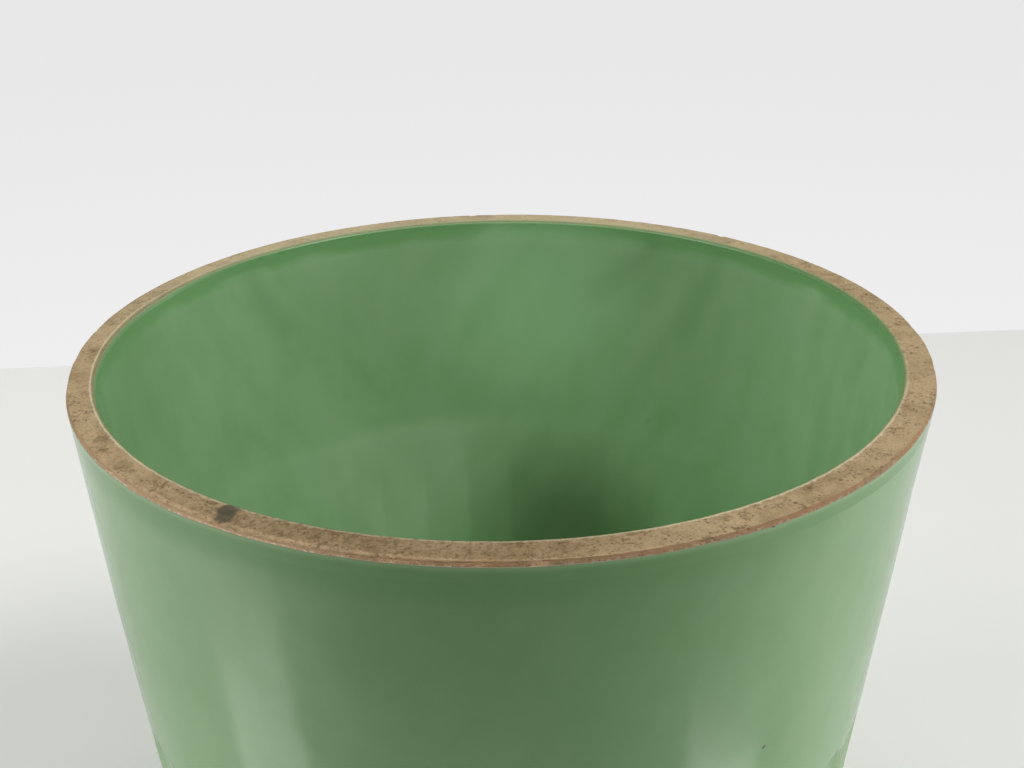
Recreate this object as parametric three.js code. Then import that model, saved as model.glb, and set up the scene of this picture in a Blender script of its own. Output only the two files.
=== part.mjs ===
// A round celadon jar with an open mouth, in millimetres, +Z up.
// The origin is the centre of the foot ring's flat face, on the surface that the jar stands on.
import * as THREE from "three";

// Overall form
const mouthRadius = 120; // widest radius, where the outside glaze starts just under the rim
const height = 205; // from the surface it stands on to the flat rim
const waistRadius = 98.5; // outside radius where the wall turns in to the base
const belly = 1.1; // how far the wall swells past a straight taper
const wall = 7.7; // clay and outside glaze together
const rimBevelDrop = 1.5; // height of the bare band on the outside of the rim
const rimBevelInset = 0.15; // how far that band leans in
const rimInnerBevel = 0.7; // width of the scraped bevel on the inside of the rim

// Base, floor and foot
const baseCurveHeight = 18; // height of the curve that turns the wall in to the underside
const undersideRadius = 84; // where that curve meets the flat underside
const floorThickness = 9;
const floorCornerRadius = 22; // curve between the inside wall and the floor
const footHeight = 8;
const footOuterRadius = 82;
const footTopWidth = 11;
const footTaper = 1.6; // how far each side of the foot ring draws in on its way down
const footBevel = 0.7;

// Flutes, cut as tall arches round the lower wall
const fluteCount = 36;
const fluteTurn = 1; // degrees that the ridges are turned from the front of the jar
const fluteDepth = 1.9;
const fluteTopDrop = 98.5; // from the rim down to the top of each arch
const fluteArchRise = 5.5; // from the foot of an arch to its top
const fluteShoulder = 4; // height over which a flute reaches its full depth
const rippleDepth = 0.9; // how far each flute shows as a soft swell on the inside wall
const rippleFade = 22; // height over which that swell fades out

// Glaze
const glazeThickness = 0.7;
const glazeEdgeThickness = 0.25;
const glazeThinning = 3; // height over which the glaze thins towards an edge
const innerGlazeDrop = 0.9; // from the rim down to the inside glaze, at the foot of the bevel
const baseGlazeMargin = 2; // bare clay left between the foot ring and the glaze inside it

// Fineness of the faceted surfaces
const stepsPerFlute = 4;
const plainSegments = 72;
const baseCurveSteps = 3;
const floorCornerSteps = 2;

const baseTop = footHeight + baseCurveHeight;
const floorTop = footHeight + floorThickness;
const bevelFoot = height - rimBevelDrop;
const fluteTop = height - fluteTopDrop;
const innerGlazeTop = height - innerGlazeDrop;

// Radius of the jar's outside at a height on the wall, over the glaze
function outerRadius(z) {
  const share = (bevelFoot - z) / (bevelFoot - baseTop);
  return mouthRadius + (waistRadius - mouthRadius) * share + belly * Math.sin(Math.PI * share);
}

// Radius of the clay under the outside glaze
function bedRadius(z) {
  return outerRadius(z) - glazeThickness;
}

// Radius of the clay's inside
function innerRadius(z) {
  return outerRadius(z) - wall;
}

// A row is one ring of the surface. cut is how deep the flutes are there, and bow is how much of
// the arch's rise the ring follows.
function row(radius, z, cut = 0, bow = 0) {
  return { radius, z, cut, bow };
}

// How deep a flute is at a place across it, from 0 on one ridge to 1 on the next
function scoop(across) {
  return 1 - (2 * across - 1) ** 2;
}

// How high a round arch stands at a place across it
function arch(across) {
  return Math.sqrt(scoop(across));
}

// Moves each row along its outline's normal by its own distance, outward for a positive one
function offsetRows(rows, distances) {
  return rows.map((here, k) => {
    const before = rows[Math.max(k - 1, 0)];
    const after = rows[Math.min(k + 1, rows.length - 1)];
    const along = new THREE.Vector2(after.radius - before.radius, after.z - before.z).normalize();
    const radius = here.radius + along.y * distances[k];
    const z = here.z - along.x * distances[k];
    return { ...here, radius, z };
  });
}

// Splits the four-sided faces of the bands between two rows along their other diagonal, so that a
// coat's back, whose rows run the other way, has the very faces of the clay under it
function swapDiagonals(geometry, rowCount, firstBand, lastBand) {
  const index = geometry.index;
  const bands = rowCount - 1;
  for (let face = 0; face < index.count / 6; face++) {
    const band = face % bands;
    if (band < firstBand || band > lastBand) continue;
    const a = Math.floor(face / bands) * rowCount + band;
    const b = a + rowCount;
    [a, b, b + 1, b + 1, a + 1, a].forEach((corner, k) => index.setX(face * 6 + k, corner));
  }
}

// Turns rows round the axis, then pushes each ring in and down where a flute crosses it
function turnFluted(rows) {
  const points = rows.map(({ radius, z }) => new THREE.Vector2(radius, z));
  const segments = fluteCount * stepsPerFlute;
  const start = THREE.MathUtils.degToRad(fluteTurn);
  const geometry = new THREE.LatheGeometry(points, segments, start);
  const place = geometry.attributes.position;
  const side = new THREE.Vector2();
  for (let k = 0; k < place.count; k++) {
    const { cut, bow, radius } = rows[k % rows.length];
    const column = Math.floor(k / rows.length);
    const across = (column % stepsPerFlute) / stepsPerFlute;
    const drop = bow * fluteArchRise * (1 - arch(across));
    side.set(place.getX(k), place.getZ(k)).setLength(Math.max(radius - cut * scoop(across), 0));
    place.setXYZ(k, side.x, place.getY(k) - drop, side.y);
  }
  return geometry.rotateX(Math.PI / 2);
}

// Turns a plain outline round the axis
function turnPlain(rows) {
  const points = rows.map(({ radius, z }) => new THREE.Vector2(radius, z));
  return new THREE.LatheGeometry(points, plainSegments).rotateX(Math.PI / 2);
}

// Outside of the clay under the glaze, from the underside up to the foot of the rim's bevel
function outsideRows() {
  const rows = [];
  for (let k = baseCurveSteps; k >= 0; k--) {
    const turn = (k / baseCurveSteps) * (Math.PI / 2);
    const radius = undersideRadius + (bedRadius(baseTop) - undersideRadius) * Math.cos(turn);
    const z = baseTop - baseCurveHeight * Math.sin(turn);
    rows.push(row(radius, z, fluteDepth * Math.cos(turn)));
  }
  const deepZ = fluteTop - fluteShoulder;
  const plainZ = (fluteTop + bevelFoot) / 2;
  const thinZ = bevelFoot - glazeThinning;
  rows.push(
    row(bedRadius(deepZ), deepZ, fluteDepth, 1),
    row(bedRadius(fluteTop), fluteTop, 0, 1),
    row(bedRadius(plainZ), plainZ),
    row(bedRadius(thinZ), thinZ),
    row(mouthRadius - glazeEdgeThickness, bevelFoot),
  );
  return rows;
}

// Inside of the clay under the glaze, from the glaze's top edge down to the floor's centre
function insideRows() {
  const cornerTop = floorTop + floorCornerRadius;
  const cornerAxis = innerRadius(cornerTop) - floorCornerRadius;
  const thinZ = innerGlazeTop - glazeThinning;
  const plainZ = (fluteTop + innerGlazeTop) / 2;
  const rows = [
    row(innerRadius(innerGlazeTop), innerGlazeTop),
    row(innerRadius(thinZ), thinZ),
    row(innerRadius(plainZ), plainZ),
    row(innerRadius(fluteTop), fluteTop),
    row(innerRadius(fluteTop - rippleFade), fluteTop - rippleFade, rippleDepth),
  ];
  for (let k = 0; k <= floorCornerSteps; k++) {
    const turn = (k / floorCornerSteps) * (Math.PI / 2);
    const radius = cornerAxis + floorCornerRadius * Math.cos(turn);
    rows.push(row(radius, cornerTop - floorCornerRadius * Math.sin(turn), rippleDepth * Math.cos(turn)));
  }
  rows.push(row(0, floorTop));
  return rows;
}

// The wall, floor and bare rim, fired as one piece of clay
function clayBody() {
  const rows = [
    row(0, footHeight),
    ...outsideRows(),
    row(mouthRadius - glazeEdgeThickness - rimBevelInset, height),
    row(innerRadius(height) + rimInnerBevel, height),
    ...insideRows(),
  ];
  return turnFluted(rows);
}

// The coat on the outside, thinned at its edges under the rim's bevel and at the foot
function outerGlaze() {
  const clay = outsideRows();
  const thickness = clay.map(() => glazeThickness);
  thickness[0] = glazeEdgeThickness;
  const face = offsetRows(clay, thickness);
  face[face.length - 1] = row(mouthRadius, bevelFoot);
  const rows = [...face, ...clay.toReversed(), face[0]];
  const geometry = turnFluted(rows);
  swapDiagonals(geometry, rows.length, face.length, rows.length - 3);
  return geometry;
}

// The coat on the inside wall and floor, thinned at its edge under the rim
function innerGlaze() {
  const clay = insideRows();
  const thickness = clay.map(() => glazeThickness);
  thickness[0] = glazeEdgeThickness;
  const face = offsetRows(clay, thickness);
  const rows = [...clay.toReversed(), ...face];
  const geometry = turnFluted(rows);
  swapDiagonals(geometry, rows.length, 1, clay.length - 2);
  return geometry;
}

// The bare ring that the jar stands on, joined under the flat underside
function footRing() {
  const outerFoot = footOuterRadius - footTaper;
  const innerTop = footOuterRadius - footTopWidth;
  const innerFoot = innerTop + footTaper;
  const rows = [
    row(footOuterRadius, footHeight),
    row(innerTop, footHeight),
    row(innerFoot, footBevel),
    row(innerFoot + footBevel, 0),
    row(outerFoot - footBevel, 0),
    row(outerFoot, footBevel),
    row(footOuterRadius, footHeight),
  ];
  return turnPlain(rows);
}

// The glazed patch on the underside, inside the foot ring
function baseGlaze() {
  const edge = footOuterRadius - footTopWidth - baseGlazeMargin;
  const rows = [
    row(0, footHeight - glazeThickness),
    row(edge - glazeThinning, footHeight - glazeThickness),
    row(edge, footHeight - glazeEdgeThickness),
    row(edge, footHeight),
    row(0, footHeight),
  ];
  return turnPlain(rows);
}

const bareClay = { color: "#a98f70", roughness: 0.85, metalness: 0 };
const celadon = { color: "#8fb983", roughness: 0.12, metalness: 0 };

const group = new THREE.Group();

function add(name, geometry, finish) {
  const mesh = new THREE.Mesh(geometry, new THREE.MeshStandardMaterial(finish));
  mesh.name = name;
  group.add(mesh);
}

add("clay_body", clayBody(), bareClay);
add("foot_ring", footRing(), bareClay);
add("outer_glaze", outerGlaze(), celadon);
add("inner_glaze", innerGlaze(), celadon);
add("base_glaze", baseGlaze(), celadon);

export default group;
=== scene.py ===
import math

import bpy
import numpy as np
from mathutils import Matrix, Vector


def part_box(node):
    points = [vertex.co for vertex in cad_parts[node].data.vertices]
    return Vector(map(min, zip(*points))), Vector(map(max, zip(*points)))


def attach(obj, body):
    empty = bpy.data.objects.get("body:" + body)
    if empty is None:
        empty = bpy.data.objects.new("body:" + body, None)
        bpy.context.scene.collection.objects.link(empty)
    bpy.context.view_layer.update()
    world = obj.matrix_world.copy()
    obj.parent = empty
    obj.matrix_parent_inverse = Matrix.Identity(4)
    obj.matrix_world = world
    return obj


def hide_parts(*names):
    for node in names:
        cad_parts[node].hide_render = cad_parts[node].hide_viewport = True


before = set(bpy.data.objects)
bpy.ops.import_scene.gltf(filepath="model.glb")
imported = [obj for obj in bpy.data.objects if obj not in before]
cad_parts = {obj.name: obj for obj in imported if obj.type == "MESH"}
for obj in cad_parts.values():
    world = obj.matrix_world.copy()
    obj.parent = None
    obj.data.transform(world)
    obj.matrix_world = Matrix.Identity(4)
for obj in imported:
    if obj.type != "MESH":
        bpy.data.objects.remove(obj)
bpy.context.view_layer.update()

MM = 0.001
CM = 0.01

# Sizes of the jar that model.glb's parts give
mouth_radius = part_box("outer_glaze")[1].x
rim_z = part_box("clay_body")[1].z
underside_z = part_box("clay_body")[0].z
floor_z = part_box("inner_glaze")[0].z
foot_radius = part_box("foot_ring")[1].x
base_glaze_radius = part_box("base_glaze")[1].x

# Sizes of the wall, base and foot that the parts' boxes don't give
waist_radius = 98.5 * MM
belly = 1.1 * MM
wall = 7.7 * MM
bevel_foot = rim_z - 1.5 * MM
inner_bevel = 0.7 * MM
base_curve_height = 18 * MM
base_top = underside_z + base_curve_height
underside_radius = 84 * MM
floor_corner = 22 * MM
foot_width = 11 * MM
foot_taper = 1.6 * MM
foot_bevel = 0.7 * MM

# Flutes
flute_count = 36
flute_turn = math.radians(1)
flute_depth = 1.9 * MM
flute_top = rim_z - 98.5 * MM
flute_rise = 5.5 * MM
flute_shoulder = 3.6 * MM
ridge_round = 0.1  # as a share of the flute's depth
arch_squareness = 2.6  # 2 is a round arch, more is squarer

# Flat panels that the flutes leave on the inside, and the soft ledge over them
panel_turn = math.radians(-2)
panel_top = rim_z - 73 * MM
panel_fade = 26 * MM
panel_depth = 0.45 * MM
ledge_top = rim_z - 70 * MM
ledge_height = 8 * MM
ledge_depth = 0.32 * MM

# Rim
band_drop = 1.95 * MM  # from the flat down to the outside glaze
band_lean = 0.3 * MM
arris_round = 0.3 * MM
worn_round = 0.7 * MM  # how much rounder the outer arris is where it is worn
worn_turn = math.radians(-38)

# Glaze
glaze_thickness = 0.7 * MM
glaze_edge_thickness = 0.05 * MM
inner_glaze_top = rim_z - 0.9 * MM

# Ways across the mouth to the far side
far_right = (0.45, 0.89, 0)
far_left = (-0.25, 0.97, 0)

# Fineness of the meshes
steps_per_flute = 16
columns = flute_count * steps_per_flute
rim_columns = columns * 3
wall_top = bevel_foot - 5 * MM  # over it the rings follow the glaze's edge


# Camera

def set_camera():
    """Puts the camera where the photograph was taken from."""
    distance = 455.0 * MM
    height_angle = math.radians(22.56)
    tilt = math.radians(24.0)
    yaw = math.radians(0.48)
    roll = math.radians(-0.67)
    focal_pixels = 1604
    picture_width = 1024
    data = bpy.data.cameras.new("photo_camera")
    data.sensor_width = 36
    data.lens = focal_pixels / picture_width * data.sensor_width
    data.dof.use_dof = False
    camera = bpy.data.objects.new("photo_camera", data)
    bpy.context.collection.objects.link(camera)
    ahead = Vector((math.sin(yaw) * math.cos(tilt), math.cos(yaw) * math.cos(tilt), -math.sin(tilt)))
    level = ahead.cross(Vector((0, 0, 1))).normalized()
    upward = level.cross(ahead)
    across = math.cos(roll) * level + math.sin(roll) * upward
    upright = -math.sin(roll) * level + math.cos(roll) * upward
    turn = Matrix((across, upright, -ahead)).transposed().to_4x4()
    aim = Vector((-0.67 * MM, 0.8 * MM, rim_z))
    place = aim + distance * Vector((0, -math.cos(height_angle), math.sin(height_angle)))
    camera.matrix_world = Matrix.Translation(place) @ turn
    bpy.context.scene.camera = camera


# Surfaces of the jar as formulas of height and turn

def turns(count):
    """The angles of a ring's columns, from the front of the jar."""
    return flute_turn + np.arange(count) * (2 * math.pi / count)


def smooth(value, low, high):
    """0 below low, 1 above high, with soft ends."""
    share = np.clip((value - low) / (high - low), 0, 1)
    return share * share * (3 - 2 * share)


def soft_waves(turn, z, wavelength, seed, radius=0.11, count=28):
    """A smooth random field round the jar, about -1 to 1, with that wavelength."""
    draw = np.random.RandomState(seed)
    x, y = radius * np.sin(turn), -radius * np.cos(turn)
    total = np.zeros(np.broadcast(turn, z).shape)
    for _ in range(count):
        way = draw.normal(size=3)
        way *= 2 * math.pi / wavelength * draw.uniform(0.6, 1.4) / np.linalg.norm(way)
        total += np.sin(way[0] * x + way[1] * y + way[2] * z + draw.uniform(0, 2 * math.pi))
    return total / math.sqrt(count) / 1.4


def outer_radius(z):
    """Radius of the outside at a height, if the jar were truly round."""
    share = (bevel_foot - z) / (bevel_foot - base_top)
    return mouth_radius + (waist_radius - mouth_radius) * share + belly * np.sin(math.pi * share)


def outside_lean(turn, z):
    """How far the wall's outside lies out from the true round. Below the rim it leans left and back."""
    below = rim_z - z
    under_rim = smooth(below, 0, 30 * MM)
    lower = smooth(below, 20 * MM, 95 * MM)
    left = 0.45 * under_rim + 0.42 * lower
    back = 0.5 * under_rim + 0.3 * lower
    uneven = 0.06 * np.sin(2 * turn + 0.7) + 0.05 * np.sin(3 * turn - 1.1 + 9 * z)
    inward = 0.2 * under_rim + 0.34 * lower
    return (uneven * under_rim - inward - left * np.sin(turn) - back * np.cos(turn)) * MM


def inside_lean(turn, z):
    """The same for the inside, which makes the rim widest at the front and right."""
    uneven = 0.06 * np.sin(2 * turn - 0.4) * smooth(rim_z - z, 5 * MM, 40 * MM)
    right, front, inward = 0.67, 0.8, 0.22
    return (uneven - inward - right * np.sin(turn) - front * np.cos(turn)) * MM


def glaze_waves(turn, z, seed):
    """Slight unevenness of a glaze coat's face, with soft runs down the wall."""
    broad = soft_waves(turn, z, 60 * MM, seed)
    fine = soft_waves(turn, z, 26 * MM, seed + 1)
    runs = soft_waves(turn, z / 4, 15 * MM, seed + 2)
    return (0.1 * broad + 0.06 * fine + 0.03 * runs) * MM


def across_flute(turn, first=flute_turn):
    """0 in the middle of a flute, 1 on the ridges beside it. first is the turn of one ridge."""
    share = ((turn - first) * flute_count / (2 * math.pi)) % 1
    return np.abs(2 * share - 1)


def flute_cut(turn, z, base_share=1.0):
    """How deep the flutes are cut at a turn and a height."""
    side = across_flute(turn)
    scoop = np.sqrt((1 - side**2) ** 2 + ridge_round**2) - ridge_round
    arch = (1 - side**arch_squareness) ** (1 / arch_squareness)
    top = flute_top - flute_rise * (1 - arch)
    soft_lip = 0.3 * MM
    return flute_depth * scoop * smooth(top - z, -soft_lip, flute_shoulder) * base_share


def inner_panels(turn, z):
    """How far the flat panels inside lie in from the round. Cut by hand, they are a little uneven."""
    uneven = np.radians(1 - 2 * np.cos(4 * (turn - math.radians(165))))
    side = across_flute(turn + uneven, panel_turn)
    return panel_depth * (1 - side**2) * smooth(panel_top - z, 0, panel_fade)


def outside_radius(turn, z):
    """Radius of the glazed outside, without its flutes."""
    return outer_radius(z) + outside_lean(turn, z)


def inside_radius(turn, z):
    """Radius of the clay's inside, under the glaze."""
    ledge = ledge_depth * smooth(ledge_top - z, 0, ledge_height)
    return outer_radius(z) - wall + inside_lean(turn, z) - inner_panels(turn, z) - ledge


def rim_top(turn):
    """Height of the rim's inner edge."""
    return rim_z - (0.04 + 0.1 * (1 + soft_waves(turn, 0.0, 90 * MM, 15))) * MM


def glaze_edge(turn):
    """Height at which the outside glaze ends, under the bare band."""
    uneven = 0.14 * soft_waves(turn, 0.0, 14 * MM, 31) + 0.05 * soft_waves(turn, 0.0, 3 * MM, 32)
    return rim_z - band_drop + uneven * MM


# Mesh building

def ring(radius, z, turn):
    """One ring of points."""
    radius, z, turn = np.broadcast_arrays(radius, z, turn)
    return np.stack([radius * np.sin(turn), -radius * np.cos(turn), z], axis=-1)


def pole(z):
    """A single point on the axis."""
    return np.array([[0.0, 0.0, z]])


def join_rings(rings, closed=False):
    """Faces between each ring and the next. A ring can have three times its neighbour's points."""
    starts = np.cumsum([0] + [len(points) for points in rings])
    faces = []
    pairs = list(zip(range(len(rings) - 1), range(1, len(rings))))
    if closed:
        pairs.append((len(rings) - 1, 0))
    for low, high in pairs:
        a, b = int(starts[low]), int(starts[high])
        count_a, count_b = len(rings[low]), len(rings[high])
        count = max(count_a, count_b)
        if count_a == 1:
            faces += [(a, b + (k + 1) % count, b + k) for k in range(count)]
        elif count_b == 1:
            faces += [(a + k, a + (k + 1) % count, b) for k in range(count)]
        elif count_a == count_b:
            for k in range(count):
                after = (k + 1) % count
                faces.append((a + k, a + after, b + after, b + k))
        elif count_a < count_b:
            for k in range(count_a):
                fine = [b + (3 * k + step) % count_b for step in (3, 2, 1, 0)]
                faces.append((a + k, a + (k + 1) % count_a, *fine))
        else:
            for k in range(count_b):
                fine = [a + (3 * k + step) % count_a for step in (0, 1, 2, 3)]
                faces.append((*fine, b + (k + 1) % count_b, b + k))
    return faces


def make_piece(name, node, slot, rings, closed, material, measure=None, values=()):
    """A mesh through the rings that stands for a CAD node. measure names a value that each ring has."""
    mesh = bpy.data.meshes.new(name)
    mesh.from_pydata(np.concatenate(rings).tolist(), [], join_rings(rings, closed))
    mesh.polygons.foreach_set("use_smooth", [True] * len(mesh.polygons))
    if measure is not None:
        spread = [np.broadcast_to(value, len(points)) for value, points in zip(values, rings)]
        layer = mesh.attributes.new(measure, "FLOAT", "POINT")
        layer.data.foreach_set("value", np.concatenate(spread).astype(np.float32))
    mesh.update()
    piece = bpy.data.objects.new(name, mesh)
    bpy.context.collection.objects.link(piece)
    mesh.materials.append(material)
    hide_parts(node)
    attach(piece, "root")


def spaced(start, stop, step):
    """Values from start to stop, both kept, about a step apart."""
    count = max(1, round(abs(stop - start) / step))
    return np.linspace(start, stop, count + 1)


def wall_heights():
    """Heights up the outside wall, close together where the flutes begin."""
    below = spaced(base_top, flute_top - flute_rise - flute_shoulder, 4 * MM)
    arches = spaced(below[-1], flute_top + 1 * MM, 0.45 * MM)
    above = spaced(arches[-1], wall_top, 2.4 * MM)
    return np.concatenate([below, arches[1:], above[1:]])


# Clay

def outside_ring(z, inward):
    """A ring of the outside wall, so far inside the glaze's face."""
    turn = turns(columns)
    return ring(outside_radius(turn, z) - flute_cut(turn, z) - inward, z, turn)


def base_rings(inward, steps=9):
    """Rings of the curve that turns the wall in to the underside, from the underside up."""
    turn = turns(columns)
    top = waist_radius - glaze_thickness
    out = glaze_thickness - inward
    rings = []
    for share in np.linspace(1, 0, steps + 1)[:-1]:
        lean = share * math.pi / 2
        radius = underside_radius + (top - underside_radius) * math.cos(lean)
        z = base_top - base_curve_height * math.sin(lean)
        cut = flute_cut(turn, base_top, math.cos(lean))
        moved = outside_lean(turn, base_top) * math.cos(lean) - cut
        rings.append(ring(radius + moved + out * math.cos(lean), z - out * math.sin(lean), turn))
    return rings


def rim_rings():
    """Rings of the bare rim, from under the outside glaze over the top to the inside glaze. The
    second list is each ring's place: 0 where the outside glaze ends, 1 at the outer arris, 2 at the
    inner arris and 3 where the inside glaze starts."""
    turn = turns(rim_columns)
    inner = inside_radius(turn, inner_glaze_top)
    top = rim_top(turn)
    arris_drop = (0.3 + 0.2 * np.cos(turn)) * MM
    small_nicks = 0.08 * soft_waves(turn, 0.0, 4 * MM, 11)
    long_nicks = 0.12 * soft_waves(turn, 0.0, 15 * MM, 12)
    nicks = np.clip(small_nicks + long_nicks, 0, None)
    chips = 0.4 * smooth(soft_waves(turn, 0.0, 8 * MM, 13), 0.8, 1.3)
    apart = np.abs((turn - worn_turn + math.pi) % (2 * math.pi) - math.pi)
    worn = 1 - smooth(apart, math.radians(12), math.radians(45))
    curve = arris_round + worn_round * worn
    edge = glaze_edge(turn)
    foot = outside_radius(turn, edge) - glaze_edge_thickness
    foot_z = edge - 0.25 * MM
    arris = foot - band_lean - (nicks + chips) * MM
    arris_z = top - arris_drop - 0.6 * chips * MM

    # Under the glaze's edge, then up the band to where the outer arris begins to curve
    rings = [ring(foot - 0.45 * MM, foot_z - 1.6 * MM, turn)]
    places = [0.0]
    curve_place = 0.8
    for share in np.linspace(0, 1, 7):
        z = foot_z + (arris_z - curve - foot_z) * share
        dents = 0.07 * MM * np.minimum(soft_waves(turn, z, 2.5 * MM, 16), 0)
        rings.append(ring(foot + (arris - foot) * share**1.5 + dents, z, turn))
        places.append(curve_place * np.clip((z - edge) / (arris_z - curve - edge), 0, 1))

    # The outer arris
    for lean in np.radians([18, 36, 54, 70, 84]):
        radius = arris - curve * (1 - math.cos(lean))
        rings.append(ring(radius, arris_z - curve * (1 - math.sin(lean)), turn))
        places.append(curve_place + (1 - curve_place) * lean / (math.pi / 2))

    # The flat, with its grit and shallow hollows
    flat_start = arris - curve
    flat_end = inner + inner_bevel + 0.06 * MM * soft_waves(turn, 0.0, 6 * MM, 14)
    for share in np.linspace(0, 1, 17)[1:]:
        radius = flat_start + (flat_end - flat_start) * share
        grit = soft_waves(turn, radius.mean() * 3, 2.2 * MM, 17, radius.mean())
        hollows = soft_waves(turn, radius.mean() * 2, 14 * MM, 18, radius.mean())
        hold = math.sin(math.pi * min(share, 0.97)) ** (1.2 if share < 0.5 else 0.4)
        dip = (0.035 * (1 - grit) + 0.05 * (1 + hollows)) * MM * hold
        rings.append(ring(radius, arris_z + (top - arris_z) * min(share * 1.3, 1) - dip, turn))
        places.append(1 + share)

    # The scraped bevel down to the inside glaze
    for share in np.linspace(0, 1, 6)[1:]:
        lean = share * math.pi / 2
        radius = inner + (flat_end - inner) * (1 - math.sin(lean))
        rings.append(ring(radius, top - (top - inner_glaze_top) * (1 - math.cos(lean)), turn))
        places.append(2 + share)
    return rings, places


def inside_rings(inward, step=2.5 * MM):
    """Rings of the inside wall and floor, so far in from the clay, from the top down to the floor."""
    turn = turns(columns)
    corner_top = floor_z + floor_corner
    corner_axis = outer_radius(corner_top) - wall - floor_corner
    edge_height = 4 * MM
    near_top = inner_glaze_top - spaced(0, edge_height, 0.5 * MM)[:-1]
    lower = spaced(inner_glaze_top - edge_height, corner_top, step)
    rings = []
    for z in np.concatenate([near_top, lower]):
        rings.append(ring(inside_radius(turn, z) - inward, z, turn))
    wall_moved = inside_lean(turn, corner_top) - inner_panels(turn, corner_top) - ledge_depth
    out = floor_corner - inward
    for share in np.linspace(0, 1, 9)[1:]:
        lean = share * math.pi / 2
        radius = corner_axis + out * math.cos(lean) + wall_moved * math.cos(lean)
        rings.append(ring(radius, corner_top - out * math.sin(lean), turn))
    for radius in spaced(corner_axis, 4 * MM, 9 * MM)[1:]:
        rings.append(ring(radius, floor_z + inward, turn))
    return rings + [pole(floor_z + inward)]


def clay_body(material):
    """The wall, floor and bare rim. Only the rim and a ring of the underside aren't glazed."""
    below = [pole(underside_z)]
    below += [ring(radius, underside_z, turns(columns)) for radius in (30 * MM, 60 * MM, 76 * MM)]
    outside = [outside_ring(z, glaze_thickness) for z in wall_heights()]
    rim, rim_places = rim_rings()
    lower = below + base_rings(glaze_thickness) + outside
    inside = inside_rings(0, 6 * MM)
    rings = lower + rim + inside
    places = [0.0] * len(lower) + rim_places + [3.0] * len(inside)
    make_piece("clay_jar_body", "clay_body", "bare_clay", rings, False, material, "rim_place", places)


def foot_ring(material):
    """The bare foot, with rubbed edges."""
    turn = turns(columns)
    uneven = 0.12 * soft_waves(turn, 0.0, 30 * MM, 21) * MM
    rub = 0.06 * MM * np.maximum(1 + soft_waves(turn, 0.0, 12 * MM, 22), 0)
    outer_top = foot_radius - 0.15 * MM
    outer_foot = outer_top - foot_taper + uneven
    inner_top = foot_radius - foot_width
    inner_foot = inner_top + foot_taper + 0.1 * MM + uneven
    edge = foot_bevel + 0.3 * MM
    rings = [ring(outer_top, underside_z, turn)]
    rings.append(ring(inner_top + 0.1 * MM, underside_z, turn))
    for z in spaced(underside_z - 1 * MM, edge, 1 * MM):
        share = (underside_z - z) / (underside_z - edge)
        rings.append(ring(inner_top + (inner_foot - inner_top) * share, z, turn))
    for lean in np.radians([20, 40, 60, 80]):
        rings.append(ring(inner_foot + edge * (1 - math.cos(lean)), edge * (1 - math.sin(lean)), turn))
    for share in np.linspace(0, 1, 7):
        radius = inner_foot + edge + (outer_foot - inner_foot - 2 * edge) * share
        rings.append(ring(radius, rub * abs(2 * share - 1), turn))
    for lean in np.radians([80, 60, 40, 20, 0]):
        rings.append(ring(outer_foot - edge * (1 - math.cos(lean)), edge * (1 - math.sin(lean)), turn))
    for z in spaced(edge, underside_z, 1 * MM)[1:-1]:
        share = (underside_z - z) / (underside_z - edge)
        rings.append(ring(outer_top + (outer_foot - foot_radius) * share, z, turn))
    make_piece("clay_foot_ring", "foot_ring", "foot_clay", rings, True, material)


# Glaze coats. Each ring's depth is how thick the glaze looks there: about 0 is thin enough to show
# the clay, and 1 is deep. On the outside it is also deeper at the front, as painted shade.

def outer_glaze(material):
    """The coat on the outside. It thins out under the rim and ends in a rolled edge at the foot. At
    the front it is made deeper, as painted shade.
    """
    turn = turns(columns)
    rings, depths = [], []
    for k, (bed, face) in enumerate(zip(base_rings(glaze_thickness), base_rings(0))):
        roll = 1 - math.exp(-k * 1.6)
        rings.append(bed + (face - bed) * roll)
        depths.append(0.75 + 0.25 * smooth(k, 0, 3))
    ridge_line = smooth(across_flute(turn), 0.8, 1.0)
    # Painted shade: the glaze is made deeper, and so darker, at the front, where little light falls.
    front = smooth(np.cos(turn - math.radians(4)), 0.74, 1.0)
    for z in wall_heights():
        cut = flute_cut(turn, z)
        below = bevel_foot - z
        waves = glaze_waves(turn, z, 33) * smooth(below, 2 * MM, 20 * MM)
        rings.append(ring(outside_radius(turn, z) - cut + waves, z, turn))
        ridge = ridge_line * smooth(flute_top - z, 0, 6 * MM)
        rim_pool = (0.34 - 0.3 * np.sin(turn)) * (1 - smooth(below, 4 * MM, 13 * MM))
        depths.append(0.46 + 0.5 * front + rim_pool + 0.3 * cut / flute_depth - 0.4 * ridge)
    edge = glaze_edge(turn)
    for below in (4.2, 3.4, 2.6, 2.0, 1.5, 1.1, 0.75, 0.45, 0.2, 0.05, 0.0):
        z = edge - below * MM
        edge_round = glaze_edge_thickness * (1 - math.sqrt(min(below / 0.3, 1)))
        rings.append(ring(outside_radius(turn, z) - edge_round, z, turn))
        depths.append(1 - (1 - min(below / 2.2, 1)) ** 1.6)
    back = [ring(outside_radius(turn, edge) - 0.5 * MM, edge - 0.8 * MM, turn)]
    back += [outside_ring(z, glaze_thickness) for z in wall_heights()[::-1]]
    back += base_rings(glaze_thickness)[:0:-1]
    rings += back
    depths += [0.6] * len(back)
    names = ("celadon_outside", "outer_glaze", "outer_celadon")
    make_piece(*names, rings, True, material, "glaze_depth", depths)


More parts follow.
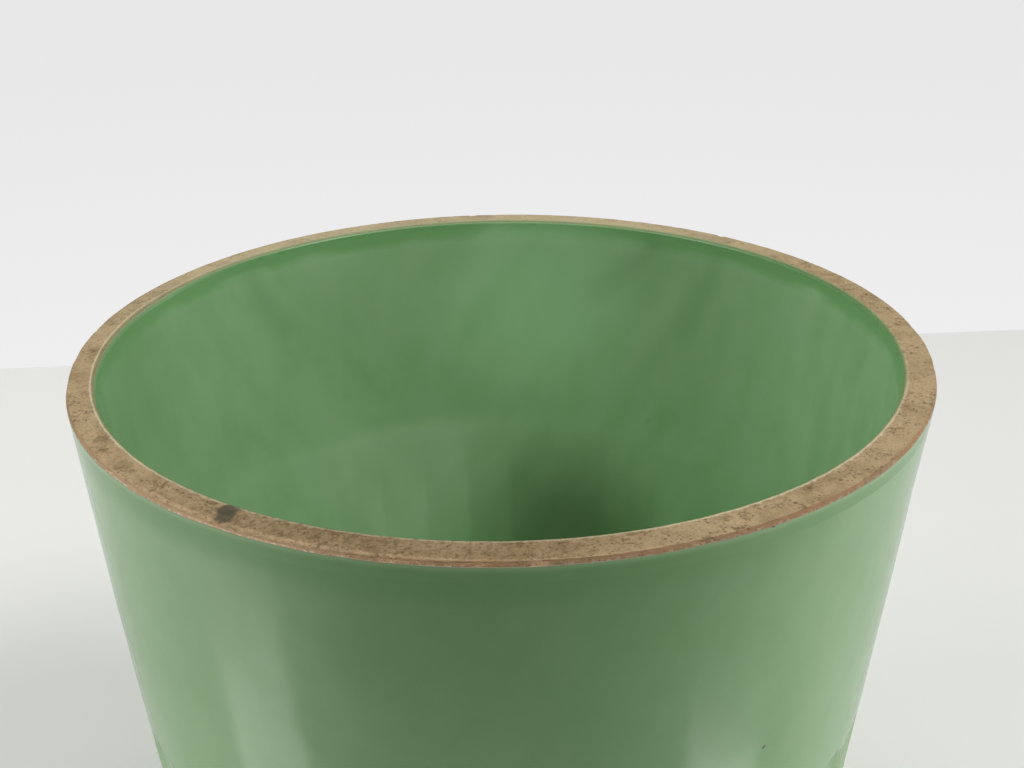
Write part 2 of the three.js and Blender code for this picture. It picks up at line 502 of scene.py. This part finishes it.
def inner_glaze(material):
    """The coat on the inside, thin at its edge, with a deep line under the rim."""
    turn = turns(columns)
    back = inside_rings(0)[::-1]
    face = inside_rings(glaze_thickness)
    drips = 1 + 0.16 * soft_waves(turn, 0.0, 30 * MM, 45)
    far = smooth(far_right[0] * np.sin(turn) - far_right[1] * np.cos(turn), -0.3, 0.5)
    edge = (1.9 - 1.4 * far) * MM
    shaped, depths = [], []
    for points in face[:-1]:
        z = points[:, 2]
        below = inner_glaze_top - z
        radius = np.hypot(points[:, 0], points[:, 1])
        thin = (glaze_thickness - glaze_edge_thickness) * (1 - smooth(below, 0, 6 * MM))
        waves = glaze_waves(turn, z, 43) * smooth(below, 2 * MM, 14 * MM)
        shaped.append(ring(radius + thin + waves * smooth(radius, 30 * MM, 90 * MM), z, turn))
        line = 1 - smooth(below, 1.6 * MM * drips, 6 * MM * drips)
        pooled = smooth(below, 0.5 * edge, 1.3 * edge) * line
        depths.append(np.maximum(0.5 * smooth(below, 0, edge) + 0.8 * pooled, 1.3 * far * line))
    rings = back + shaped + [face[-1]]
    depths = [0.5] * len(back) + depths + [0.6]
    names = ("celadon_inside", "inner_glaze", "inner_celadon")
    make_piece(*names, rings, False, material, "glaze_depth", depths)


def base_glaze(material):
    """The glazed patch inside the foot ring, with a rolled edge."""
    turn = turns(columns)
    edge = base_glaze_radius - 0.3 * MM + 0.25 * MM * soft_waves(turn, 0.0, 25 * MM, 51)
    roll_start = 0.93
    rings = [pole(underside_z)]
    depths = [0.6]
    for share in (1.0, 0.99, 0.97, 0.93, 0.85, 0.65, 0.4, 0.15):
        roll = math.sqrt(max(1 - (max(share - roll_start, 0) / (1 - roll_start)) ** 2, 0))
        rings.append(ring(edge * share, underside_z - glaze_thickness * roll, turn))
        depths.append(0.6 * roll)
    rings.append(pole(underside_z - glaze_thickness))
    depths.append(0.6)
    names = ("celadon_base", "base_glaze", "base_celadon")
    make_piece(*names, rings, False, material, "glaze_depth", depths)


# Material building

def srgb(red, green, blue):
    """A colour as read off a screen, 0 to 255, as the shader's linear colour."""
    def linear(value):
        share = value / 255
        return share / 12.92 if share <= 0.04045 else ((share + 0.055) / 1.055) ** 2.4
    return (linear(red), linear(green), linear(blue), 1.0)


def add_node(tree, kind, values=None, **settings):
    """A node with its settings, and its inputs set or linked."""
    made = tree.nodes.new(kind)
    for name, value in settings.items():
        setattr(made, name, value)
    for name, value in (values or {}).items():
        if isinstance(value, bpy.types.NodeSocket):
            tree.links.new(value, made.inputs[name])
        else:
            made.inputs[name].default_value = value
    return made


def calc(tree, operation, *values):
    """A math node's result."""
    return add_node(tree, "ShaderNodeMath", dict(enumerate(values)), operation=operation).outputs[0]


def product(tree, first, *others):
    """All the values multiplied."""
    for other in others:
        first = calc(tree, "MULTIPLY", first, other)
    return first


def vector_calc(tree, operation, *values):
    """A vector math node, with its results."""
    return add_node(tree, "ShaderNodeVectorMath", dict(enumerate(values)), operation=operation).outputs


def remap(tree, value, low, high, to_low=0.0, to_high=1.0):
    """value from low..high softly to to_low..to_high."""
    values = {"Value": value, "From Min": low, "From Max": high, "To Min": to_low, "To Max": to_high}
    made = add_node(tree, "ShaderNodeMapRange", values, interpolation_type="SMOOTHSTEP", clamp=True)
    return made.outputs["Result"]


def blend_colours(tree, share, first, second):
    """first, with share of second over it."""
    share_input, first_input, second_input, colour_output = 0, 6, 7, 2
    values = {share_input: share, first_input: first, second_input: second}
    made = add_node(tree, "ShaderNodeMix", values, data_type="RGBA", clamp_factor=True)
    return made.outputs[colour_output]


def noise(tree, place, size, detail=2.0, roughness=0.5, warp=0.0):
    """Noise whose lumps are about that size, from 0 to 1."""
    values = {"Vector": place, "Scale": 1 / size, "Detail": detail, "Roughness": roughness}
    values["Distortion"] = warp
    return add_node(tree, "ShaderNodeTexNoise", values).outputs["Fac"]


def centred_noise(tree, *settings):
    """The same, from -0.5 to 0.5."""
    return calc(tree, "SUBTRACT", noise(tree, *settings), 0.5)


def stretched(tree, place, scale, turn=(0, 0, 0)):
    """The place, turned and stretched."""
    values = {"Vector": place, "Scale": scale, "Rotation": turn}
    return add_node(tree, "ShaderNodeMapping", values, vector_type="TEXTURE").outputs[0]


def point_at(turn, radius, z):
    """A point of the jar. turn is degrees from the front to the right."""
    turn = math.radians(turn)
    return Vector((radius * math.sin(turn), -radius * math.cos(turn), z))


def near_point(tree, place, point, full, none):
    """1 within the distance full from the point, falling softly to 0 at the distance none."""
    return remap(tree, vector_calc(tree, "DISTANCE", place, point)["Value"], none, full)


def mark(tree, place, point, size):
    """A mask with a ragged edge round a point."""
    distance = vector_calc(tree, "DISTANCE", place, point)["Value"]
    ragged = product(tree, centred_noise(tree, place, size, 3, 0.6), size)
    return remap(tree, calc(tree, "ADD", distance, ragged), size * 0.6, size * 0.38)


def near_line(tree, place, start, end, width):
    """1 on the line from start to end, falling softly to 0 at that width from it, a little uneven."""
    way = (end - start).normalized()
    from_start = vector_calc(tree, "SUBTRACT", place, start)[0]
    along = vector_calc(tree, "DOT_PRODUCT", from_start, way)["Value"]
    kept = calc(tree, "MINIMUM", calc(tree, "MAXIMUM", along, 0.0), (end - start).length)
    nearest = add_node(tree, "ShaderNodeVectorMath", {0: way, "Scale": kept}, operation="SCALE")
    apart = vector_calc(tree, "DISTANCE", from_start, nearest.outputs[0])["Value"]
    ragged = product(tree, centred_noise(tree, place, 12 * MM, 2), 0.9 * width)
    return remap(tree, calc(tree, "ADD", apart, ragged), width, 0.0)


def new_group(name, inputs, outputs):
    """An empty node group with those sockets, and its input and output nodes."""
    group = bpy.data.node_groups.new(name, "ShaderNodeTree")
    for way, sockets in (("INPUT", inputs), ("OUTPUT", outputs)):
        for socket, kind in sockets:
            group.interface.new_socket(socket, in_out=way, socket_type="NodeSocket" + kind)
    return group, add_node(group, "NodeGroupInput"), add_node(group, "NodeGroupOutput")


def new_material(name):
    """A material with its tree, its shader and the place on the jar."""
    material = bpy.data.materials.new(name)
    material.use_nodes = True
    tree = material.node_tree
    place = add_node(tree, "ShaderNodeTexCoord").outputs["Object"]
    return material, tree, tree.nodes["Principled BSDF"], place


def speck_group():
    """Scattered round specks: the size of their cells, the share of cells that have one, and the
    largest speck's radius as a share of a cell."""
    inputs = [("Place", "Vector"), ("Cell Size", "Float"), ("Share", "Float"), ("Largest", "Float")]
    group, given, made = new_group("Scattered specks", inputs, [("Mask", "Float")])
    cells_per_metre = calc(group, "DIVIDE", 1.0, given.outputs["Cell Size"])
    values = {"Vector": given.outputs["Place"], "Scale": cells_per_metre, "Randomness": 1.0}
    cells = add_node(group, "ShaderNodeTexVoronoi", values)
    draws = add_node(group, "ShaderNodeSeparateColor", {"Color": cells.outputs["Color"]})
    size = remap(group, draws.outputs["Green"], 0.0, 1.0, 0.3, 1.0)
    reach = product(group, size, given.outputs["Largest"])
    soft_edge = remap(group, cells.outputs["Distance"], product(group, reach, 0.45), reach)
    round_mask = calc(group, "SUBTRACT", 1.0, soft_edge)
    chosen = calc(group, "LESS_THAN", draws.outputs["Red"], given.outputs["Share"])
    group.links.new(product(group, round_mask, chosen), made.inputs["Mask"])
    return group


def specks(tree, group, place, cell_size, share, largest):
    """The mask of a speck group with its own values."""
    values = {"Place": place, "Cell Size": cell_size, "Share": share, "Largest": largest}
    return add_node(tree, "ShaderNodeGroup", values, node_tree=group).outputs["Mask"]


# Celadon

def celadon_group(speck):
    """Celadon glaze: its colour by depth, clouding, streaks and specks, and its face's height."""
    inputs = [
        ("Place", "Vector"),
        ("Depth", "Float"),
        ("Thin", "Color"),
        ("Pale", "Color"),
        ("Deep", "Color"),
        ("Clouding", "Float"),
        ("Streaks", "Float"),
    ]
    outputs = [("Color", "Color"), ("Roughness", "Float"), ("Height", "Float")]
    group, given, made = new_group("Celadon glaze", inputs, outputs)
    place = given.outputs["Place"]
    streaks = given.outputs["Streaks"]

    # Clouds, mottle, runs down the wall, and brush sweeps that lean both ways from the back
    cloud = centred_noise(group, place, 30 * MM, 3, 0.5, 0.3)
    mottle = centred_noise(group, place, 6 * MM, 3, 0.6)
    runs = centred_noise(group, stretched(group, place, (1, 1, 6)), 9 * MM, 2, 0.5, 0.3)
    sweeps = []
    for lean in (34, -38):
        swept = stretched(group, place, (1, 1, 9), (0, math.radians(lean), 0))
        sweeps.append(centred_noise(group, swept, 11 * MM, 2, 0.4))
    side = add_node(group, "ShaderNodeSeparateXYZ", {"Vector": place}).outputs["X"]
    at_left = remap(group, side, -15 * MM, -55 * MM)
    either = {"Factor": at_left, "A": sweeps[0], "B": sweeps[1]}
    sweep = add_node(group, "ShaderNodeMix", either).outputs[0]
    soft_spots = specks(group, speck, place, 24 * MM, 0.3, 0.05)
    depth = given.outputs["Depth"]
    uneven = (
        (cloud, given.outputs["Clouding"]),
        (mottle, 0.18),
        (runs, streaks),
        (sweep, product(group, streaks, 2.2)),
        (soft_spots, 0.25),
    )
    for part, amount in uneven:
        depth = calc(group, "ADD", depth, product(group, part, amount))

    # Colour
    pale_to_deep = remap(group, depth, 0.2, 1.2)
    body = blend_colours(group, pale_to_deep, given.outputs["Pale"], given.outputs["Deep"])
    thinness = calc(group, "SUBTRACT", 1.0, remap(group, depth, 0.02, 0.34))
    coloured = blend_colours(group, thinness, body, given.outputs["Thin"])
    large_specks = product(group, specks(group, speck, place, 17 * MM, 0.14, 0.03), 0.6)
    fine_specks = product(group, specks(group, speck, place, 7 * MM, 0.12, 0.035), 0.4)
    speck_mask = calc(group, "MAXIMUM", large_specks, fine_specks)
    iron = srgb(58, 66, 44)
    group.links.new(blend_colours(group, speck_mask, coloured, iron), made.inputs["Color"])

    # Gloss, duller where the glaze is thin, and the face's height
    rough = remap(group, noise(group, place, 12 * MM, 4, 0.65), 0.35, 0.75, 0.07, 0.14)
    dulled = calc(group, "MULTIPLY_ADD", thinness, 0.4, rough)
    group.links.new(dulled, made.inputs["Roughness"])
    group.links.new(noise(group, place, 5 * MM, 2), made.inputs["Height"])
    return group


def celadon(name, group, colours, clouding, streaks):
    """A glossy celadon material with its own thin, pale and deep colours. It gives back its tree,
    shader, place and glaze too, to paint over."""
    material, tree, shader, place = new_material(name)
    depth = add_node(tree, "ShaderNodeAttribute", attribute_name="glaze_depth").outputs["Fac"]
    values = {"Place": place, "Depth": depth, "Clouding": clouding, "Streaks": streaks}
    values.update(zip(("Thin", "Pale", "Deep"), colours))
    glaze = add_node(tree, "ShaderNodeGroup", values, node_tree=group).outputs
    waves = {"Strength": 0.2, "Distance": 0.03 * MM, "Height": glaze["Height"]}
    bump = add_node(tree, "ShaderNodeBump", waves)
    tree.links.new(glaze["Roughness"], shader.inputs["Roughness"])
    tree.links.new(bump.outputs["Normal"], shader.inputs["Normal"])
    shader.inputs["IOR"].default_value = 1.58
    return material, tree, shader, place, glaze


def inside_celadon(group):
    """The celadon of the inside, with broad strokes at the far side, painted light on the far wall,
    painted shade on the left wall, a pale film low at the left and a painted shadow beside it."""
    thin, pale, deep = srgb(176, 168, 136), srgb(150, 186, 140), srgb(114, 162, 104)
    material, tree, shader, place, glaze = celadon("inside celadon", group, (thin, pale, deep), 0.45, 0.26)
    colour = glaze["Color"]

    # Strokes where the glaze was brushed or ran thicker or thinner. Each has its ends, as the turn in
    # degrees and the height in mm, its width in mm, its strength and its colour.
    deep_stroke, pale_stroke = srgb(84, 124, 74), srgb(176, 204, 164)
    strokes = (
        ((152.0, 199.0), (161.5, 182.0), 7.5, 0.24, deep_stroke),
        ((-133.0, 198.5), (-138.0, 178.0), 7.5, 0.22, deep_stroke),
        ((161.0, 168.0), (167.0, 148.0), 6.0, 0.18, deep_stroke),
        ((140.0, 197.0), (145.0, 172.0), 7.0, 0.12, deep_stroke),
        ((-180.0, 202.0), (-168.0, 160.0), 8.0, 0.24, pale_stroke),
    )
    wall_radius = 111 * MM
    for start, end, width, amount, shade in strokes:
        ends = [point_at(turn, wall_radius, z * MM) for turn, z in (start, end)]
        share = product(tree, near_line(tree, place, *ends, width * MM), amount)
        colour = blend_colours(tree, share, colour, shade)

    # Broad places: painted light on the far wall, painted shade on the left wall, the pale film, and a
    # painted shadow that deepens the near rim's shadow low at the back. Each has its middle, the
    # distances where it is full and where it ends in mm, its strength and its colour.
    height = add_node(tree, "ShaderNodeSeparateXYZ", {"Vector": place}).outputs["Z"]
    below_ledge = remap(tree, height, ledge_top + 2 * MM, ledge_top - 5 * MM)
    painted_light_and_film = (
        # Painted light: a pool of light on the upper middle of the far wall.
        (point_at(172, 108 * MM, 178 * MM), 8, 45, 0.45, srgb(168, 214, 162)),
        # Painted shade: darkens the upper left wall, which the right lamps light too much.
        (point_at(-92, 111 * MM, 190 * MM), 15, 70, 0.4, srgb(104, 146, 92)),
        (point_at(-159, 103 * MM, 118 * MM), 15, 52, product(tree, below_ledge, 0.14), srgb(206, 216, 196)),
        # Painted shadow: deepens the near rim's shadow low on the far wall.
        (point_at(166, 99 * MM, 90 * MM), 6, 46, 0.5, srgb(62, 72, 36)),
    )
    for point, full, none, amount, shade in painted_light_and_film:
        share = product(tree, near_point(tree, place, point, full * MM, none * MM), amount)
        colour = blend_colours(tree, share, colour, shade)
    tree.links.new(colour, shader.inputs["Base Color"])

    # A duller edge under the rim
    edge_foot, edge_top = inner_glaze_top - 2.5 * MM, inner_glaze_top - 1 * MM
    dull_edge = remap(tree, height, edge_foot, edge_top, 0.0, 0.2)
    tree.links.new(calc(tree, "ADD", glaze["Roughness"], dull_edge), shader.inputs["Roughness"])
    return material


def outside_celadon(group):
    """The celadon of the outside, with two larger specks of iron."""
    thin, pale, deep = srgb(180, 178, 148), srgb(171, 213, 155), srgb(138, 188, 122)
    material, tree, shader, place, glaze = celadon("outside celadon", group, (thin, pale, deep), 0.35, 0.1)
    colour = glaze["Color"]
    for turn, z, size in ((35.1, 133.2, 1.1), (30.3, 203.0, 0.9)):
        point = point_at(turn, outside_radius(math.radians(turn), z * MM), z * MM)
        share = product(tree, mark(tree, place, point, size * MM), 0.75)
        colour = blend_colours(tree, share, colour, srgb(70, 72, 48))
    tree.links.new(colour, shader.inputs["Base Color"])
    return material


# Bare clay

def clay_group(speck):
    """Bare sandy clay: its colour with stains, grains, dark specks in patches and pits, and its height."""
    inputs = [("Place", "Vector"), ("Sand", "Color"), ("Stain", "Color"), ("Staining", "Float")]
    group, given, made = new_group("Bare clay", inputs, [("Color", "Color"), ("Height", "Float")])
    place = given.outputs["Place"]

    stain = remap(group, noise(group, place, 11 * MM, 5, 0.62, 0.4), 0.42, 0.74)
    staining = product(group, stain, given.outputs["Staining"])
    colour = blend_colours(group, staining, given.outputs["Sand"], given.outputs["Stain"])

    grain = noise(group, place, 0.7 * MM, 4, 0.7)
    pale_grains = remap(group, grain, 0.52, 0.82, 0, 0.45)
    colour = blend_colours(group, pale_grains, colour, srgb(212, 196, 160))
    dark_grains = remap(group, grain, 0.5, 0.26, 0, 0.75)
    colour = blend_colours(group, dark_grains, colour, srgb(104, 84, 54))

    patches = remap(group, noise(group, place, 7 * MM, 3, 0.55), 0.42, 0.64, 0.1, 0.95)
    fine = specks(group, speck, place, 0.8 * MM, patches, 0.5)
    iron = specks(group, speck, place, 1.8 * MM, product(group, patches, 0.55), 0.36)
    blotch = remap(group, noise(group, place, 2.2 * MM, 3, 0.65, 0.3), 0.46, 0.7)
    colour = blend_colours(group, product(group, patches, 0.8, blotch), colour, srgb(92, 72, 42))
    speck_mask = calc(group, "MAXIMUM", product(group, fine, 0.5), product(group, iron, 0.6))
    colour = blend_colours(group, speck_mask, colour, srgb(84, 68, 42))
    group.links.new(colour, made.inputs["Color"])

    pits = product(group, calc(group, "MAXIMUM", fine, iron), 0.9)
    group.links.new(calc(group, "SUBTRACT", grain, pits), made.inputs["Height"])
    return group


def bare_clay(name, group, sand, stain, staining):
    """A matt clay material. It gives back its tree, shader, place and colour too, to paint over."""
    material, tree, shader, place = new_material(name)
    values = {"Place": place, "Sand": sand, "Stain": stain, "Staining": staining}
    clay = add_node(tree, "ShaderNodeGroup", values, node_tree=group).outputs
    grit = {"Strength": 0.7, "Distance": 0.2 * MM, "Height": clay["Height"]}
    bump = add_node(tree, "ShaderNodeBump", grit)
    tree.links.new(clay["Color"], shader.inputs["Base Color"])
    tree.links.new(bump.outputs["Normal"], shader.inputs["Normal"])
    shader.inputs["Roughness"].default_value = 0.85
    shader.inputs["IOR"].default_value = 1.4
    return material, tree, shader, place, clay["Color"]


def rim_clay(group):
    """The clay of the body and its bare rim, with a reddened band under the rim's outer arris, made
    paler as painted light where it is worn, painted glints along the band's foot, a painted highlight
    along its inner arris, painted shade on the inner bevel, painted sheen at the far left of the flat,
    dirt and painted shade at its front, and the marks of use and firing. The masks go by the ring's
    place across the rim: 0 at the outside glaze, 1 and 2 at the arrises, 3 at the inside glaze."""
    sand, stain = srgb(175, 153, 118), srgb(127, 105, 72)
    material, tree, shader, place, colour = bare_clay("rim clay", group, sand, stain, 0.7)
    across = add_node(tree, "ShaderNodeAttribute", attribute_name="rim_place").outputs["Fac"]
    ragged = calc(tree, "ADD", across, product(tree, centred_noise(tree, place, 1.6 * MM, 3, 0.6), 0.25))

    # The band, reddened, and made paler where the arris is worn, as painted light on a band that faces
    # little light, with painted glints along its foot
    patchy = remap(tree, noise(tree, place, 18 * MM, 3, 0.5), 0.36, 0.62, 0.3, 0.9)
    worn_point = point_at(math.degrees(worn_turn), mouth_radius, rim_z)
    wear_and_light_place = near_point(tree, place, worn_point, 20 * MM, 75 * MM)
    worn = calc(tree, "MULTIPLY_ADD", wear_and_light_place, 0.7, 0.3)
    covered = calc(tree, "MAXIMUM", patchy, product(tree, worn, 0.95))
    reddened = product(tree, remap(tree, ragged, 0.98, 0.8), covered)
    # Painted light: the paler colour lights up the band at the worn side.
    red_clay_with_painted_light = blend_colours(tree, worn, srgb(171, 126, 88), srgb(216, 182, 144))
    colour = blend_colours(tree, reddened, colour, red_clay_with_painted_light)
    # Painted glints: near-white flecks along the band's foot, strongest at the worn side.
    glint_flecks = remap(tree, noise(tree, place, 1.3 * MM, 2, 0.5), 0.48, 0.64)
    painted_glints = product(tree, remap(tree, ragged, 0.5, 0.2), glint_flecks, worn)
    colour = blend_colours(tree, painted_glints, colour, srgb(236, 226, 206))

    # The inner arris and the scraped bevel: a painted highlight along the arris at the near side, painted
    # shade on the bevel, and greened at the far right
    far = remap(tree, vector_calc(tree, "DOT_PRODUCT", place, far_right)["Value"], -20 * MM, 70 * MM)
    near = calc(tree, "SUBTRACT", 1.0, far)
    painted_arris_highlight = product(tree, remap(tree, ragged, 1.9, 1.97), remap(tree, ragged, 2.12, 2.02))
    colour = blend_colours(tree, product(tree, painted_arris_highlight, near, 0.62), colour, srgb(206, 203, 172))
    # Painted shade: darkens the bevel, which faces in and down.
    bevel_shade = product(tree, remap(tree, ragged, 2.05, 2.2), 0.6)
    colour = blend_colours(tree, bevel_shade, colour, srgb(146, 138, 100))
    greened = product(tree, remap(tree, ragged, 1.96, 2.12), far, 0.85)
    colour = blend_colours(tree, greened, colour, srgb(122, 152, 104))

    # The flat, with painted sheen at the far left, and darker at the front, partly dirt and partly painted
    # shade
    to_far_left = vector_calc(tree, "DOT_PRODUCT", place, far_left)["Value"]
    sheen_side = remap(tree, to_far_left, 20 * MM, 110 * MM)
    # Painted sheen: the far left of the flat is made paler.
    far_left_sheen = product(tree, sheen_side, remap(tree, ragged, 1.0, 1.1), 0.35)
    colour = blend_colours(tree, far_left_sheen, colour, srgb(204, 196, 162))
    on_top = remap(tree, ragged, 0.96, 1.06)
    # Darker at the front: partly dirt, partly painted shade where little light falls.
    dirt_and_shade_point = point_at(-14, mouth_radius, rim_z)
    front_dirt_and_shade = product(tree, near_point(tree, place, dirt_and_shade_point, 20 * MM, 90 * MM), on_top, 0.46)
    colour = blend_colours(tree, front_dirt_and_shade, colour, srgb(112, 92, 62))
    # Dark mottle of dirt, laid only where the front's dirt and painted shade is.
    grime = remap(tree, noise(tree, place, 1.2 * MM, 4, 0.7, 0.3), 0.46, 0.64)
    colour = blend_colours(tree, product(tree, grime, front_dirt_and_shade), colour, srgb(66, 50, 26))

    # Spots. Each has its turn in degrees, its radius and size in mm, its strength and its colour.
    soot, brown = srgb(74, 72, 58), srgb(100, 86, 58)
    spots = (
        (-33.6, 114.6, 4.8, 0.8, soot),
        (-33.0, 116.6, 4.6, 0.8, soot),
        (-60.5, 115.6, 3.8, 0.4, brown),
        (-52.3, 116.6, 4.6, 0.35, brown),
    )
    for turn, radius, size, amount, shade in spots:
        spot = mark(tree, place, point_at(turn, radius * MM, rim_z), size * MM)
        colour = blend_colours(tree, product(tree, spot, amount), colour, shade)
    tree.links.new(colour, shader.inputs["Base Color"])
    return material


# Studio

table_back = 0.485
table_front = -0.22
table_slant = 0.06
table_sheen = 0.2
table_reach = 1.9
lamp_distance = 1.6

# Each lamp's turn from the front to the right and its lift, in degrees, its size in metres, its
# power in watts, and whether the glaze mirrors it
lamps = {
    "right_lamp": (71, 50.5, 0.58, 10.4, True),
    "left_lamp": (-77, 43, 0.58, 5.3, True),
    "right_front_fill": (58, 50, 0.4, 3.2, False),
    "right_side_fill": (106, 14, 0.5, 3.9, False),
    "left_side_fill": (-102, 14, 0.5, 2.1, False),
    "left_low_fill": (-58, 26, 0.4, 2.9, False),
    "back_left_fill": (-132, 38, 0.6, 5.2, False),
    "back_fill": (180, 30, 0.4, 1.8, False),
    "overhead_fill": (0, 88, 0.8, 5.0, False),
}


def floor_material():
    """The pale floor. Past the table's front edge it sends less light back on to the jar."""
    material = bpy.data.materials.new("pale floor")
    material.use_nodes = True
    tree = material.node_tree
    tree.nodes.clear()
    place = add_node(tree, "ShaderNodeNewGeometry").outputs["Position"]
    along = add_node(tree, "ShaderNodeSeparateXYZ", {"Vector": place}).outputs["Y"]
    on_table = remap(tree, along, table_front - 16 * CM, table_front + 12 * CM)
    to_jar = blend_colours(tree, on_table, srgb(90, 92, 90), srgb(236, 236, 234))
    path = add_node(tree, "ShaderNodeLightPath").outputs
    colour = blend_colours(tree, path["Is Camera Ray"], to_jar, srgb(237, 237, 234))
    matt = add_node(tree, "ShaderNodeBsdfDiffuse", {"Color": colour})
    polish = {"Color": (1.0, 1.0, 1.0, 1.0), "Roughness": 0.16}
    sheen = add_node(tree, "ShaderNodeBsdfGlossy", polish)
    share = product(tree, path["Is Glossy Ray"], on_table, table_sheen)
    mixed = add_node(tree, "ShaderNodeMixShader", {0: share, 1: matt.outputs[0], 2: sheen.outputs[0]})
    add_node(tree, "ShaderNodeOutputMaterial", {"Surface": mixed.outputs[0]})
    return material


def set_world():
    """Dim light from all round, dimmer from behind the camera, and a white backdrop behind the floor."""
    world = bpy.data.worlds.new("studio")
    bpy.context.scene.world = world
    world.use_nodes = True
    tree = world.node_tree
    tree.nodes.clear()
    way = add_node(tree, "ShaderNodeTexCoord").outputs["Generated"]
    parts = add_node(tree, "ShaderNodeSeparateXYZ", {"Vector": way}).outputs
    front = remap(tree, product(tree, parts["Y"], -1.0), 0.3, 0.8)
    around = remap(tree, front, 0.0, 1.0, 0.05, 0.04)
    backdrop = remap(tree, parts["Z"], -0.42, -0.18, 0.87, 0.81)
    seen = add_node(tree, "ShaderNodeLightPath").outputs["Is Camera Ray"]
    either = {"Factor": seen, "A": around, "B": backdrop}
    strength = add_node(tree, "ShaderNodeMix", either).outputs[0]
    glow = {"Color": (1.0, 0.995, 1.0, 1.0), "Strength": strength}
    background = add_node(tree, "ShaderNodeBackground", glow)
    add_node(tree, "ShaderNodeOutputWorld", {"Surface": background.outputs[0]})


def soft_lamp(name, turn, lift, size, power, mirrored):
    """A square soft lamp that looks at the jar."""
    lamp = bpy.data.lights.new(name, "AREA")
    lamp.shape = "SQUARE"
    lamp.size = size
    lamp.energy = power
    holder = bpy.data.objects.new(name, lamp)
    holder.visible_glossy = mirrored
    turn, lift = math.radians(turn), math.radians(lift)
    way = Vector((math.sin(turn) * math.cos(lift), -math.cos(turn) * math.cos(lift), math.sin(lift)))
    holder.location = Vector((0, 0, rim_z / 2)) + lamp_distance * way
    holder.rotation_euler = way.to_track_quat("Z", "Y").to_euler()
    bpy.context.collection.objects.link(holder)


def set_studio():
    """The pale floor, the soft light and the view settings."""
    bpy.context.scene.view_settings.view_transform = "Standard"
    mesh = bpy.data.meshes.new("floor")
    slant = table_slant * table_reach
    corners = [
        (-table_reach, -table_reach, 0),
        (table_reach, -table_reach, 0),
        (table_reach, table_back + slant, 0),
        (-table_reach, table_back - slant, 0),
    ]
    mesh.from_pydata(corners, [], [(0, 1, 2, 3)])
    mesh.materials.append(floor_material())
    floor = bpy.data.objects.new("floor", mesh)
    bpy.context.collection.objects.link(floor)
    set_world()
    for name, settings in lamps.items():
        soft_lamp(name, *settings)


set_camera()
speck = speck_group()
glaze = celadon_group(speck)
clay = clay_group(speck)
outside = outside_celadon(glaze)
inside = inside_celadon(glaze)
clay_body(rim_clay(clay))
foot_ring(bare_clay("foot clay", clay, srgb(186, 160, 126), srgb(146, 120, 88), 0.5)[0])
outer_glaze(outside)
inner_glaze(inside)
base_glaze(outside)
set_studio()
